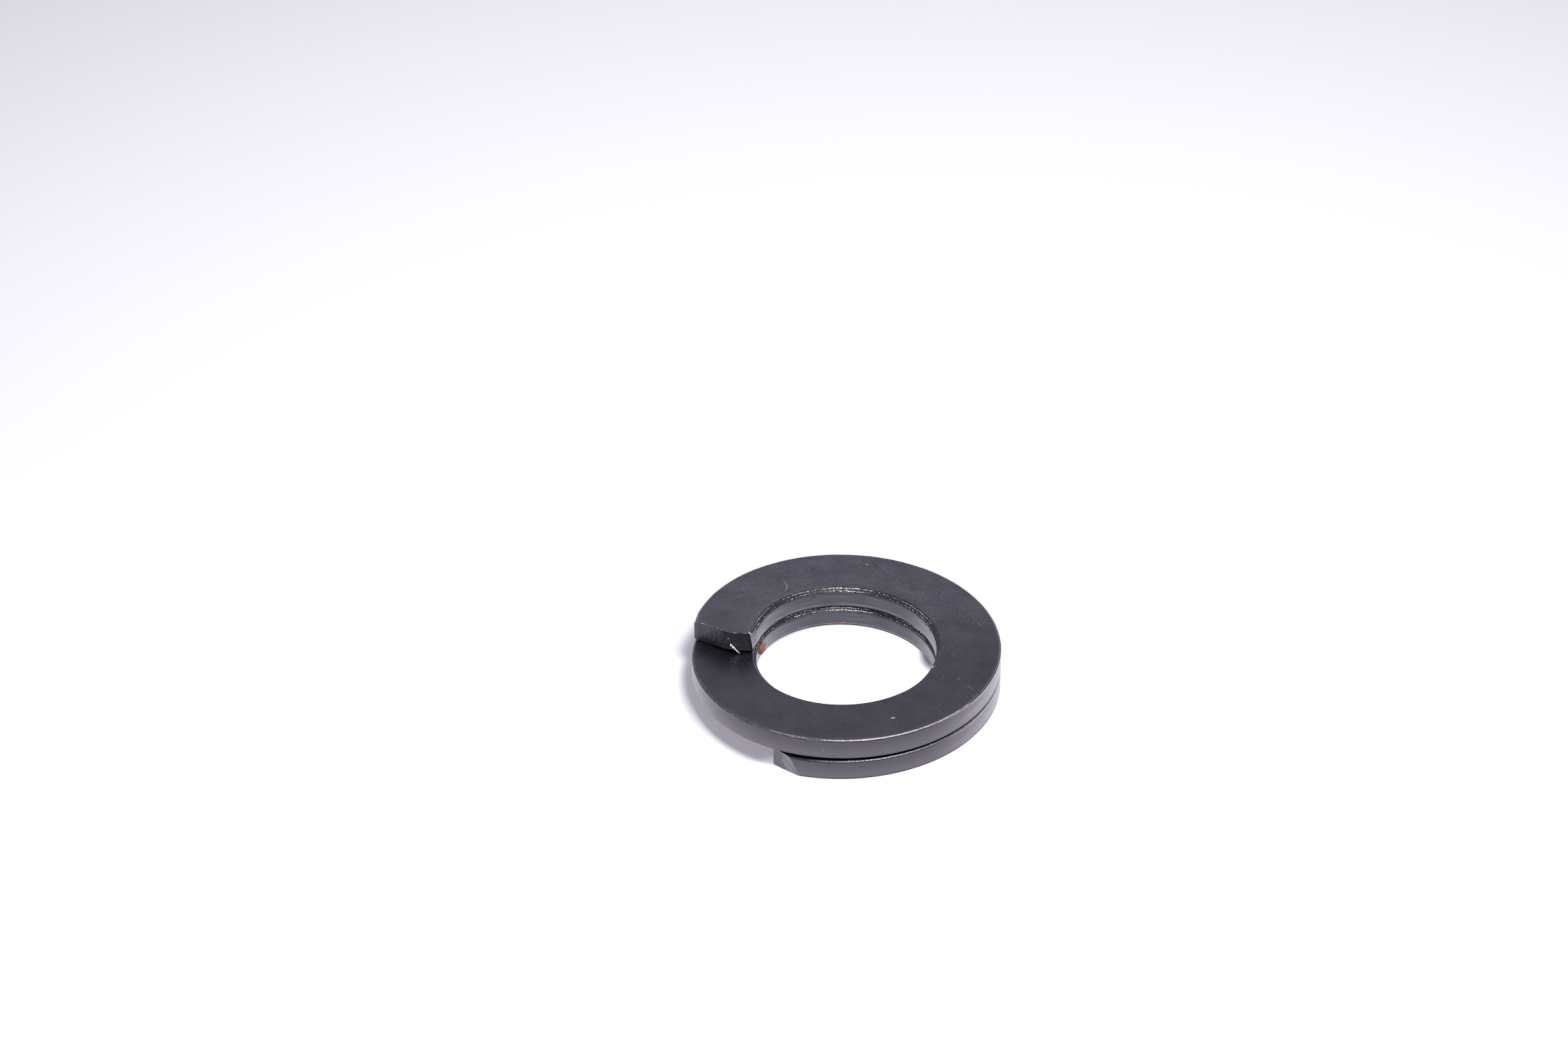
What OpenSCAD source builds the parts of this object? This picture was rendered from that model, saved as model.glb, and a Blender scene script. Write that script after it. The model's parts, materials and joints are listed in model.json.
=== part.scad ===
// Double-coil spring washer for a 14 mm bolt.
//
// A flat steel wire is wound on edge round the bolt hole for a little under
// two turns. The two turns lie one above the other with a narrow gap between
// them, which closes when the bolt is tightened. Both ends are sheared square
// across the wire, and each has its outer corner cut back so that it does not
// catch. The axis of the hole is Z, and the lowest edge lies at z = 0.

/* [Coil] */
// Diameter of the hole
bore_d = 14.5; // [10:0.1:24]
// Width of the wire, from the hole out to the rim
wire_width = 5.2; // [4:0.1:8]
// Thickness of the wire at the rim
rim_thickness = 1.7; // [1.1:0.02:2.6]
// Thickness of the wire at the hole, where winding has upset it
bore_thickness = 1.72; // [1.1:0.02:2.8]
// Gap left between the turns where the wire is thickest
turn_gap = 0.17; // [0.06:0.01:1.2]
// Arc that the wire runs through from end to end, in degrees
coil_arc = 657; // [560:1:690]

/* [Edges] */
// Bevel along the wire's edges at the hole
bore_bevel = 0.3; // [0.1:0.01:0.36]
// Bevel along the wire's edges at the rim
rim_bevel = 0.16; // [0.05:0.01:0.35]

/* [Upper end] */
// Direction of the upper end seen from above, in degrees from X
upper_end_angle = 178; // [0:0.5:360]
// How far the outer corner of the upper end is cut back along the wire
upper_cut_length = 1.5; // [0.2:0.02:2]
// Width of the wire that this cut takes in, measured from the rim
upper_cut_width = 3.6; // [1.6:0.1:3.8]

/* [Lower end] */
// How far the outer corner of the lower end is cut back along the wire
lower_cut_length = 2.05; // [0.4:0.05:2.6]
// Width of the wire that this cut takes in, measured from the rim
lower_cut_width = 0.8; // [0.4:0.05:1.2]
// How far the gap between the turns widens at the lower end, which is sprung down
lower_end_gap = 0.2; // [0:0.02:1]
// Arc over which it springs down, in degrees
lower_end_arc = 145; // [60:5:240]

/* [Hidden] */

bore_r = bore_d / 2;
rim_r = bore_r + wire_width;
pitch = max(rim_thickness, bore_thickness) + turn_gap;

// The swept wire stands this far proud of both walls, which are then cut to
// true cylinders
trim = 0.14;
// Arc between neighbouring sections of the sweep
section_arc = 6;
// Arc behind each end over which the sections swing round to its cut corner
end_blend_arc = 36;
// Stations across the wire that draw the curve of the upper end's cut
cut_stations = 5;
wall_fn = 240;
washer_color = [0.23, 0.23, 0.25];

function smooth(t) = let(u = max(0, min(1, t))) u * u * (3 - 2 * u);
function share(value, from, to) = (value - from) / (to - from);

// Half the wire's thickness at radius r, with the bevelled edges
function flat_half(r) =
    let(t = share(r, bore_r, rim_r))
    (bore_thickness + (rim_thickness - bore_thickness) * t) / 2;
bevel_in_r = bore_r + bore_bevel;
bevel_out_r = rim_r - rim_bevel;
function half_thickness(r) =
    r < bevel_in_r ? flat_half(bevel_in_r) - (bevel_in_r - r)
    : r > bevel_out_r ? flat_half(bevel_out_r) - (r - bevel_out_r)
    : flat_half(r);

// Stations across the wire, from inside the hole to outside the rim
upper_cut_r = rim_r - min(upper_cut_width, wire_width - 2 * bore_bevel);
lower_cut_r = rim_r - lower_cut_width;
radii = concat(
    [bore_r - trim, bevel_in_r],
    [for (i = [0 : cut_stations - 1])
        upper_cut_r + (lower_cut_r - upper_cut_r) * i / (cut_stations - 1)],
    [bevel_out_r, rim_r + trim]
);

// Height of the wire's middle after an arc of s degrees down from the top
last_flat_arc = coil_arc - lower_end_arc;
function drop(s) =
    pitch * s / 360
    + lower_end_gap * pow(max(0, share(s, last_flat_arc, coil_arc)), 2);
thickest_half = max(flat_half(bevel_in_r), flat_half(bevel_out_r));
upper_middle_z = drop(coil_arc) + thickest_half;
function middle_z(s) = upper_middle_z - drop(s);
free_height = upper_middle_z + thickest_half;

// Distance along the wire that each end is cut back at radius r
function upper_cut(r) =
    upper_cut_length * smooth(share(r, upper_cut_r, rim_r));
function lower_cut(r) =
    lower_cut_length * max(0, share(r, lower_cut_r, rim_r));
function arc_of(length, r) = length / r * 180 / PI;

// Arc position of the point at radius r on the section at arc s
function arc_at(s, r) =
    s + arc_of(upper_cut(r), r) * max(0, 1 - s / end_blend_arc)
    - arc_of(lower_cut(r), r) * max(0, 1 - (coil_arc - s) / end_blend_arc);

function wire_point(s, r, side) =
    let(a = arc_at(s, r), angle = upper_end_angle - a)
    [r * cos(angle), r * sin(angle), middle_z(a) + side * half_thickness(r)];

// One closed section: out along the top of the wire and back underneath
count = len(radii);
function wire_section(s) = concat(
    [for (i = [0 : count - 1]) wire_point(s, radii[i], 1)],
    [for (i = [count - 1 : -1 : 0]) wire_point(s, radii[i], -1)]
);

module wire_sweep() {
    ring = 2 * count;
    steps = ceil(coil_arc / section_arc);
    points = [
        for (k = [0 : steps], point = wire_section(coil_arc * k / steps)) point
    ];
    sides = [
        for (k = [0 : steps - 1], i = [0 : ring - 1], half = [0, 1])
            let(j = (i + 1) % ring, a = k * ring, b = a + ring)
            half == 0 ? [a + i, a + j, b + i] : [a + j, b + j, b + i]
    ];
    // Each end is a strip of faces from the top of the wire to its underside
    last = steps * ring;
    upper_cap = [
        for (i = [0 : count - 2], half = [0, 1])
            let(under = ring - 1 - i)
            half == 0 ? [i, under, i + 1] : [i + 1, under, under - 1]
    ];
    lower_cap = [
        for (face = upper_cap) [for (v = [2 : -1 : 0]) last + face[v]]
    ];
    polyhedron(points, concat(sides, upper_cap, lower_cap), convexity = 10);
}

module spring_washer() {
    clear = 1;
    color(washer_color)
    difference() {
        intersection() {
            wire_sweep();
            translate([0, 0, -clear])
                cylinder(h = free_height + 2 * clear, r = rim_r, $fn = wall_fn);
        }
        translate([0, 0, -2 * clear])
            cylinder(h = free_height + 4 * clear, r = bore_r, $fn = wall_fn);
    }
}

spring_washer();
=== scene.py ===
import json
import math

import bmesh
import bpy
import numpy as np
from mathutils import Matrix, Vector


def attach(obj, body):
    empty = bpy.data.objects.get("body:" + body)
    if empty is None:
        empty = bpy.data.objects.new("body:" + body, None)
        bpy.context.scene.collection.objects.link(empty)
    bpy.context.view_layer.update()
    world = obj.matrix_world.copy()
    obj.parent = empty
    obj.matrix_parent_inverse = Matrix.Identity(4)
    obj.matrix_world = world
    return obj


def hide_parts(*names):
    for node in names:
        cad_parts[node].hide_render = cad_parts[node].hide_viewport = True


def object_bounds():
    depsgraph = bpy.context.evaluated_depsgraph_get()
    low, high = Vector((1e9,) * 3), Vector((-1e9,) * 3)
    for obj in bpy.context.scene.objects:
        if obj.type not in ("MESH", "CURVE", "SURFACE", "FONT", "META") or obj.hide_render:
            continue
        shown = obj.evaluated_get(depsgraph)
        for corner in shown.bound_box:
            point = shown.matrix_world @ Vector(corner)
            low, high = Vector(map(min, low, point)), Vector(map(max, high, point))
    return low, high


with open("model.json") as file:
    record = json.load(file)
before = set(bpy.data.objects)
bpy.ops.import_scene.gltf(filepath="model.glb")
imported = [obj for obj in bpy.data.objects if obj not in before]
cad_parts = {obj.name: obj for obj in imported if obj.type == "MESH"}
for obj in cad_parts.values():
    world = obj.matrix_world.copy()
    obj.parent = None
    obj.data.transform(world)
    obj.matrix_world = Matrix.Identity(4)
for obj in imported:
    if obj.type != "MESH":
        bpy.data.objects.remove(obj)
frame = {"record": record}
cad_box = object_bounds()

# Lengths below are in millimetres and angles in degrees, unless a name says otherwise
MM = 0.001
BODY = "root"
NODE = "spring_washer"

# The coil, as in the CAD source
BORE_R = frame["record"]["mounts"][0]["dims"]["r_mm"]
RIM_R = min(cad_box[1].x, -cad_box[0].x, cad_box[1].y, -cad_box[0].y) / MM
TOP_Z = cad_box[1].z / MM
RIM_THICKNESS = 1.7
BORE_THICKNESS = 1.72
TURN_GAP = 0.17
COIL_ARC = 657.0
BORE_BEVEL = 0.3
RIM_BEVEL = 0.16
UPPER_END_ANGLE = 178.0
UPPER_CUT_LENGTH = 1.5
UPPER_CUT_WIDTH = 3.6
LOWER_CUT_LENGTH = 2.05
LOWER_CUT_WIDTH = 0.8
LOWER_END_GAP = 0.2
LOWER_END_ARC = 145.0
END_BLEND_ARC = 36.0

PITCH = max(RIM_THICKNESS, BORE_THICKNESS) + TURN_GAP
MEAN_R = (BORE_R + RIM_R) / 2
BEVEL_IN_R = BORE_R + BORE_BEVEL
BEVEL_OUT_R = RIM_R - RIM_BEVEL
UPPER_CUT_R = RIM_R - UPPER_CUT_WIDTH
LOWER_CUT_R = RIM_R - LOWER_CUT_WIDTH
LAST_FLAT_ARC = COIL_ARC - LOWER_END_ARC


def share(value, low, high):
    return (value - low) / (high - low)


def smooth(value):
    u = np.clip(value, 0, 1)
    return u * u * (3 - 2 * u)


def half_thickness(r):
    growth = RIM_THICKNESS - BORE_THICKNESS
    return (BORE_THICKNESS + growth * share(r, BORE_R, RIM_R)) / 2


def drop(arc):
    sprung = np.maximum(0, share(arc, LAST_FLAT_ARC, COIL_ARC))
    return PITCH * arc / 360 + LOWER_END_GAP * sprung**2


HALF = max(half_thickness(BEVEL_IN_R), half_thickness(BEVEL_OUT_R))
UPPER_MIDDLE_Z = drop(COIL_ARC) + HALF


def middle_z(arc):
    return UPPER_MIDDLE_Z - drop(arc)


def arc_of(length, r):
    return np.degrees(length / r)


# How far back the upper end's outer corner is rounded, and the width that this takes in
UPPER_ROUNDING, UPPER_ROUNDING_WIDTH = 0.22, 0.4
# The lower end's cut corner slants: its length at the foot and at the top, in terms of the CAD's.
# The lip beside it stands out this far, and fades over this width
LOWER_CUT_SLANT = (1.24, 0.83)
LOWER_LIP, LOWER_LIP_WIDTH = 0.3, 1.2


def arc_at(station, r, w=0.0):
    """Arc of the point at that radius and height on a station's section, which shears to the ends."""
    upper = UPPER_CUT_LENGTH * smooth(share(r, UPPER_CUT_R, RIM_R))
    upper = upper + UPPER_ROUNDING * np.clip(share(r, RIM_R - UPPER_ROUNDING_WIDTH, RIM_R), 0, 1) ** 2
    lower = LOWER_CUT_LENGTH * np.maximum(0, share(r, LOWER_CUT_R, RIM_R))
    lower = lower * np.interp(w, (-HALF, HALF), LOWER_CUT_SLANT)
    lower = lower - LOWER_LIP * hump(r, LOWER_CUT_R, LOWER_LIP_WIDTH)
    return (
        station
        + arc_of(upper, r) * np.maximum(0, 1 - station / END_BLEND_ARC)
        - arc_of(lower, r) * np.maximum(0, 1 - (COIL_ARC - station) / END_BLEND_ARC)
    )


def place(arc, r, w):
    """Points at that arc and radius, w above the middle of the wire."""
    angle = np.radians(UPPER_END_ANGLE - arc)
    return np.stack([r * np.cos(angle), r * np.sin(angle), np.maximum(0, middle_z(arc) + w)], -1)


# Random but repeatable variation


def wander(values, step, seed):
    """Smooth noise from -1 to 1 along values, with one random knot in each step."""
    knots = np.random.default_rng(seed).uniform(-1, 1, 4096)
    at = np.asarray(values, float) / step + 64
    whole = np.floor(at).astype(int)
    blend = smooth(at - whole)
    return knots[whole % 4096] * (1 - blend) + knots[(whole + 1) % 4096] * blend


def wander_over(x, y, step, seed):
    """The same over a plane. The step may be a pair, one for each direction."""
    knots = np.random.default_rng(seed).uniform(-1, 1, (512, 512))
    step_x, step_y = np.broadcast_to(step, 2)
    x, y = np.asarray(x, float) / step_x + 64, np.asarray(y, float) / step_y + 64
    i, j = np.floor(x).astype(int), np.floor(y).astype(int)
    a, b = smooth(x - i), smooth(y - j)

    def knot(m, n):
        return knots[(i + m) % 512, (j + n) % 512]

    low = knot(0, 0) * (1 - a) + knot(1, 0) * a
    high = knot(0, 1) * (1 - a) + knot(1, 1) * a
    return low * (1 - b) + high * b


def hump(value, centre, half_width):
    """1 at the centre, falling smoothly to 0 at half_width from it."""
    return smooth(1 - abs(value - centre) / half_width)


def between(value, low, high, soft):
    """1 between low and high, falling to 0 over soft on either side."""
    return smooth(share(value, low - soft, low)) * smooth(share(value, high + soft, high))


# Section of the wire: a loop of points, each with the zone that it belongs to

BAND = 0.35
FOOT = 0.07
BAND_STEPS = 21
EDGE_STEPS = 12
FOOT_STEPS = 5
# How far the points of the upper face and of the walls keep from the edges
FACE_MARGIN, WALL_MARGIN = 0.03, 0.05
BEVEL_BULGE = 0.18
# A fine groove runs round the wall of the hole, this far below its ridges
GROOVE_DEPTH = np.array([0.002, 0.03, 0.03, 0.002])
GROOVE_BELOW = np.array([0.135, 0.12, 0.105, 0.09])


def worn_bevel(steps, size):
    """A rounded bevel as distances along the first face and down the second."""
    t = np.linspace(0, 1, steps)
    push = BEVEL_BULGE * np.sin(np.pi * t)
    return size * np.minimum(1, t + push), size * np.maximum(0, t - push)


def section():
    h, margin = HALF, WALL_MARGIN
    along_rim, down_rim = worn_bevel(EDGE_STEPS, RIM_BEVEL)
    along_foot, down_foot = worn_bevel(FOOT_STEPS, FOOT)
    band = np.linspace(1, 0, BAND_STEPS)
    runs = [
        ("top", np.linspace(BORE_R + BAND + FACE_MARGIN, BEVEL_OUT_R - FACE_MARGIN, 14), h),
        ("rim_edge", BEVEL_OUT_R + along_rim, h - down_rim),
        ("rim", RIM_R, np.linspace(h - RIM_BEVEL - margin, FOOT + margin - h, 9)),
        ("rim_foot", (RIM_R - FOOT + along_foot)[::-1], (down_foot - h)[::-1]),
        ("under", np.linspace(RIM_R - FOOT - margin, BORE_R + FOOT + margin, 7), -h),
        ("bore_foot", BORE_R + FOOT - along_foot, down_foot - h),
        ("bore", BORE_R, np.linspace(FOOT + margin - h, h - BAND - 0.17, 7)),
        ("bore", BORE_R + GROOVE_DEPTH, h - BAND - GROOVE_BELOW),
        ("strip", BORE_R, h - BAND - np.array([0.07, 0.02])),
        ("band", BORE_R + BAND * (1 - band), h - BAND * band),
    ]
    rs, ws, zones = [], [], []
    for name, r, w in runs:
        r, w = np.broadcast_arrays(r, w)
        rs.extend(r)
        ws.extend(w)
        zones.extend([name] * len(r))
    return np.array(rs), np.array(ws), np.array(zones)


STATIONS = 1080
# How much smaller the bevel at the hole is at the upper end, and the arc over which it grows
END_BAND, END_BAND_ARC = 0.4, 11.0

# Where the outer edge is nicked: arc, half the arc it takes, and how deep in bevels
NICKS = (
    (203.3, 1.0, 0.3), (262.0, 1.4, 0.12), (275.5, 1.5, 0.12), (288.0, 1.6, 0.2), (341.0, 1.4, 0.15),
)
# How much wider the outer edge is rounded at the upper end, and the arc over which that fades
END_ROUNDING, END_ROUNDING_ARC = 1.1, 9.0
# Where the outer edge is worn to bare metal: first arc, last arc, strength
BRIGHT_STRETCHES = (
    (0, 150, 0.3), (150, 216, 0.55), (219, 276, 1.0), (276, 285, 0.6), (285, 296, 0.9),
    (296, 345, 0.52), (345, 420, 0.45), (500, 566, 0.35), (566, 640, 0.3),
)
# Where the lower turn's outer edge is rough and glitters: first and last arc
BEADED_EDGE = (556, 640)
# Dents in the wall of the hole, darkened to near black: arc, height, half size along and up, depth
WALL_DENTS = (
    (158.1, 4.15, 0.16, 0.1, 0.05), (66.5, 4.46, 0.07, 0.05, 0.05), (68.0, 4.4, 0.06, 0.05, 0.05),
    (151.0, 4.0, 0.07, 0.05, 0.04), (503.0, 1.75, 0.12, 0.08, 0.04), (508.0, 1.95, 0.08, 0.06, 0.04),
    (459.0, 2.2, 0.05, 0.05, 0.03), (487.0, 2.35, 0.06, 0.05, 0.03),
)
# Brown smears on the upper face and edges: arc, radius, half size along and across, strength
SMEARS = (
    (125.4, 8.82, 1.5, 0.55, 0.5), (120.0, 8.6, 1.1, 0.4, 0.6), (130.2, 9.26, 0.9, 0.35, 0.7),
    (134.0, 8.9, 0.7, 0.3, 0.4), (206.0, 7.75, 0.6, 0.22, 0.8), (190.0, 7.75, 1.5, 0.2, 0.6),
    (176.0, 7.75, 1.6, 0.2, 0.5), (212.0, 12.2, 0.9, 0.3, 0.6), (30.0, 7.8, 1.2, 0.2, 0.5),
    (14.0, 7.85, 0.7, 0.25, 0.7), (262.0, 12.2, 3.5, 0.2, 0.35),
)


# Where glints are painted brighter on the ridges at the hole: arc within a turn, half the arc, strength
PAINTED_GLINT_STRETCHES = (
    (88, 26, 1.0), (60, 26, 0.75), (16, 34, 0.85), (140, 30, 0.8), (250, 80, 0.35),
)


def painted_glints_along(station):
    """How brightly glints are painted on the ridges at each place along the wire."""
    turn = station % 360
    amount = np.full(station.shape, 0.33)
    for middle, half, strength in PAINTED_GLINT_STRETCHES:
        amount = np.maximum(amount, strength * hump(turn, middle, half) ** 0.5)
    # The lower turn's glints are painted a quarter brighter
    return amount * np.where(station > 360, 1.25, 1.0)


# Where a sheen is painted on the walls, on both turns: arc within a turn, half the arc, strength
PAINTED_SHEEN_STRETCHES = ((200, 42, 1.25), (162, 34, 0.8), (22, 40, 0.45), (340, 40, 0.12))


def painted_sheen_along(station):
    """How strongly the walls' painted sheen shows at each place along the wire."""
    turn = station % 360
    return sum(strength * hump(turn, middle, half) for middle, half, strength in PAINTED_SHEEN_STRETCHES)


def ridges(length, t):
    """How far the two rough ridges stand proud over the bevel at the hole, and how bright they are."""
    upper = hump(t, 0.3 + 0.04 * wander(length, 1.1, 21), 0.22)
    lower = hump(t, 0.76 + 0.03 * wander(length, 1.1, 22), 0.2)
    streaks = wander_over(length, t, (0.3, 0.09), 23)
    beads = wander_over(length, t, (0.1, 0.09), 24)
    crest = np.maximum(upper, lower * (0.85 + 0.15 * wander(length, 0.5, 25)))
    proud = 0.034 * crest * (0.8 + 0.2 * beads) + 0.007 * streaks
    bright = crest * (0.75 + 0.25 * streaks + 0.25 * beads)
    return proud - 0.03, np.clip(bright, 0, 1)


def edge_growth(station, length):
    """How large the upper outer edge's bevel is, in bevels: it varies, and has nicks."""
    worn = 1 + 0.08 * wander(length, 0.9, 11) + 0.05 * wander(length, 0.28, 12)
    worn = worn + 0.08 * wander(length, 0.13, 13) * (station > 545)
    for nick_arc, nick_half, nick_deep in NICKS:
        worn = worn + nick_deep * hump(station, nick_arc, nick_half)
    return worn + END_ROUNDING * smooth(1 - station / END_ROUNDING_ARC)


# How far the hole's wall stands back at the upper end, at the foot and at the top of the wire, and
# the arc and width over which that fades
END_FLARE, END_FLARE_ARC, END_FLARE_WIDTH = (0.25, 0.5), 14.0, 1.6


def flared(station, r, w):
    """Radius with the hole's wall set back near the upper end."""
    back = np.interp(w, (-HALF, HALF), END_FLARE) * smooth(1 - station / END_FLARE_ARC) ** 1.5
    return r + back * smooth(1 - (r - BORE_R) / END_FLARE_WIDTH)


def squeezed(values, fixed, end, new_end):
    """Values from fixed to end, squeezed so that they run from fixed to new_end."""
    return fixed + (values - fixed) * (new_end - fixed) / (end - fixed)


def edge_wear(station, length):
    """How far the blackening is worn off the outer edge at each place along the wire."""
    amount = np.zeros(station.shape)
    for first, last, strength in BRIGHT_STRETCHES:
        amount = np.maximum(amount, strength * between(station, first, last, 5.0))
    patchy = 1 + 0.14 * wander(length, 0.9, 41) + 0.08 * wander(length, 0.25, 42)
    return np.clip(amount * patchy, 0, 1)


# The edge mask where the outer edge is far off, and how near the top a point counts as on top
NO_EDGE = -30.0
NEAR_TOP = 0.2


class Wire:
    """The washer's surface as a grid: stations along the wire by points round its section."""

    def __init__(self):
        self.sec_r, self.sec_w, self.zone = section()
        stations = np.linspace(0, COIL_ARC, STATIONS)
        self.station, self.r = np.meshgrid(stations, self.sec_r, indexing="ij")
        self.w = np.array(np.broadcast_to(self.sec_w, self.r.shape))
        self.length = np.radians(self.station) * MEAN_R
        plain = ("band", "crest", "rim", "bore", "tint", "grime", "facet", "torn")
        self.masks = {name: np.zeros(self.r.shape) for name in plain}
        self.wear_edge()
        self.raise_ridges()
        self.mark_stretches()
        self.hollow_faces()
        self.dent_walls()
        self.smear_brown()
        self.r = flared(self.station, self.r, self.w)
        self.arc = arc_at(self.station, self.r, self.w)
        around = np.radians(UPPER_END_ANGLE - self.arc)
        # 1 towards the back and 0 at the front. Towards the back the faces are painted lighter as a sheen,
        # and their relief and its painted shading are stronger
        self.masks["peel"] = smooth(share(np.sin(around), -0.35, 0.6))
        self.points = place(self.arc, self.r, self.w)

    def of(self, *zones):
        """Which points of the section are in those zones."""
        return np.isin(self.zone, zones)

    def wear_edge(self):
        """Wears the upper outer edge. Its mask runs from 0 to 1 over the bevel, and on beside it."""
        top, edge, wall = self.of("top"), self.of("rim_edge"), self.of("rim")
        below = self.of("rim", "rim_foot", "under")
        u = np.full(self.r.shape, NO_EDGE)
        u[:, top] = share(self.r[:, top], BEVEL_OUT_R, RIM_R)
        u[:, edge] = np.linspace(0, 1, EDGE_STEPS)
        u[:, below] = 1 + share(self.w[:, below], HALF - RIM_BEVEL, HALF - 2 * RIM_BEVEL)
        self.masks["edge"] = u
        self.masks["wear"] = edge_wear(self.station, self.length)
        worn = edge_growth(self.station[:, :1], self.length[:, :1])
        groove = 0.005 * hump(np.linspace(0, 1, EDGE_STEPS), 0.36, 0.16)
        self.r[:, edge] = RIM_R - (RIM_R - self.r[:, edge]) * worn - groove
        self.w[:, edge] = HALF - (HALF - self.w[:, edge]) * worn - groove
        new_end = RIM_R - RIM_BEVEL * worn - FACE_MARGIN
        self.r[:, top] = squeezed(self.r[:, top], BORE_R, BEVEL_OUT_R - FACE_MARGIN, new_end)
        old_end, new_end = HALF - RIM_BEVEL - WALL_MARGIN, HALF - RIM_BEVEL * worn - WALL_MARGIN
        self.w[:, wall] = squeezed(self.w[:, wall], -HALF, old_end, new_end)

    def raise_ridges(self):
        """Raises the rough ridges on the bevel at the hole, which is smaller at the upper end."""
        band = self.of("band")
        t = np.broadcast_to(np.linspace(1, 0, BAND_STEPS), self.r[:, band].shape)
        proud, bright = ridges(self.length[:, band], t)
        proud = proud * between(t, 0.12, 1.0, 0.12) * math.sqrt(0.5)
        size = END_BAND + (1 - END_BAND) * smooth(self.station[:, band] / END_BAND_ARC)
        self.r[:, band] = BORE_R + (self.r[:, band] - proud - BORE_R) * size
        self.w[:, band] = np.minimum(HALF, HALF - (HALF - (self.w[:, band] + proud)) * size)
        self.masks["band"][:, band] = between(t, 0.04, 0.98, 0.05)
        self.masks["crest"][:, band] = bright

    def mark_stretches(self):
        """The masks that follow stretches of the wire, its walls or the height on them."""
        station, masks = self.station, self.masks
        lower_edge = between(masks["edge"], 0.6, 1.0, 0.15)
        walls = np.where(self.of("rim_edge"), lower_edge, self.of("rim", "bore", "strip"))
        masks["glitter"] = painted_glints_along(station)
        masks["polish"] = painted_sheen_along(station) * walls
        masks["beaded"] = between(station, *BEADED_EDGE, 10)
        masks["pale"] = np.maximum(0.8 * hump(station, 332, 45), 0.7 * self.of("bore"))
        masks["rise"] = self.w + HALF
        # How strongly the foot of the walls is darkened to brown: more on the lower turn
        masks["stain"] = 0.2 + 0.7 * smooth(share(station, 400, 430))
        masks["rim"][:, self.of("rim", "rim_foot")] = 1
        masks["bore"][:, self.of("bore", "strip", "bore_foot")] = 1

    def hollow_faces(self):
        """Slight hollows and swells of the faces, between their edges."""
        top, rim = self.of("top"), self.of("rim")
        flat = between(self.r[:, top], BORE_R + 0.6, BEVEL_OUT_R - 0.15, 0.2)
        swell = wander_over(self.length[:, top], self.r[:, top], 1.7, 31)
        self.w[:, top] -= 0.006 * (1 + swell) * flat
        swell = wander_over(self.length[:, rim], self.w[:, rim], (2.6, 0.5), 32)
        self.r[:, rim] -= 0.003 + 0.004 * (1 + swell)

    def dent_walls(self):
        bore = self.of("bore")
        station = self.station[:, bore]
        z = middle_z(station) + self.w[:, bore]
        for dent_arc, dent_z, half_along, half_up, deep in WALL_DENTS:
            along = np.radians(station - dent_arc) * BORE_R
            dent = hump(along, 0, half_along + 0.055) * hump(z, dent_z, half_up + 0.04)
            self.r[:, bore] += deep * dent
            # The dents are darkened to near black
            self.masks["grime"][:, bore] += 1.1 * dent

    def smear_brown(self):
        """Brown smears on the upper face and its edges, and a brown line by the ridges."""
        on_top, tint = self.w > HALF - NEAR_TOP, self.masks["tint"]
        for smear_arc, smear_r, half_along, half_across, strength in SMEARS:
            along = np.radians(self.station - smear_arc) * smear_r
            smear = hump(along, 0, half_along) * hump(self.r, smear_r, half_across) * on_top
            tint += strength * smear
        lip = hump(self.r, BORE_R + BAND + 0.06, 0.13) * on_top
        tint += 0.7 * lip * between(self.station, 6, 74, 8)

    def coil(self):
        """Each point's place along the wire and round its section."""
        along_r = np.diff(self.sec_r, append=self.sec_r[0])
        along_w = np.diff(self.sec_w, append=self.sec_w[0])
        across = np.concatenate([[0], np.cumsum(np.hypot(along_r, along_w))[:-1]])
        across = np.broadcast_to(across, self.r.shape)
        return np.stack([np.radians(self.arc) * MEAN_R, across, 0 * self.r], -1)


def face_outward(mesh):
    """Turns every face of the closed shapes outward."""
    shape = bmesh.new()
    shape.from_mesh(mesh)
    bmesh.ops.recalc_face_normals(shape, faces=shape.faces)
    shape.to_mesh(mesh)
    shape.free()


def finish_mesh(name, points, faces, material, masks=None, coil=None, sharp=40):
    """Makes a piece from points in millimetres. It rides on the washer's body."""
    mesh = bpy.data.meshes.new(name)
    mesh.from_pydata((points * MM).tolist(), [], faces)
    mesh.validate()
    face_outward(mesh)
    for mask, values in (masks or {}).items():
        mesh.attributes.new(mask, "FLOAT", "POINT").data.foreach_set("value", values.ravel())
    if coil is not None:
        mesh.attributes.new("coil", "FLOAT_VECTOR", "POINT").data.foreach_set("vector", coil.ravel())
    mesh.polygons.foreach_set("use_smooth", [True] * len(mesh.polygons))
    mesh.set_sharp_from_angle(angle=math.radians(sharp))
    mesh.materials.append(material)
    piece = bpy.data.objects.new(name, mesh)
    bpy.context.scene.collection.objects.link(piece)
    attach(piece, BODY)
    return piece


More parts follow.
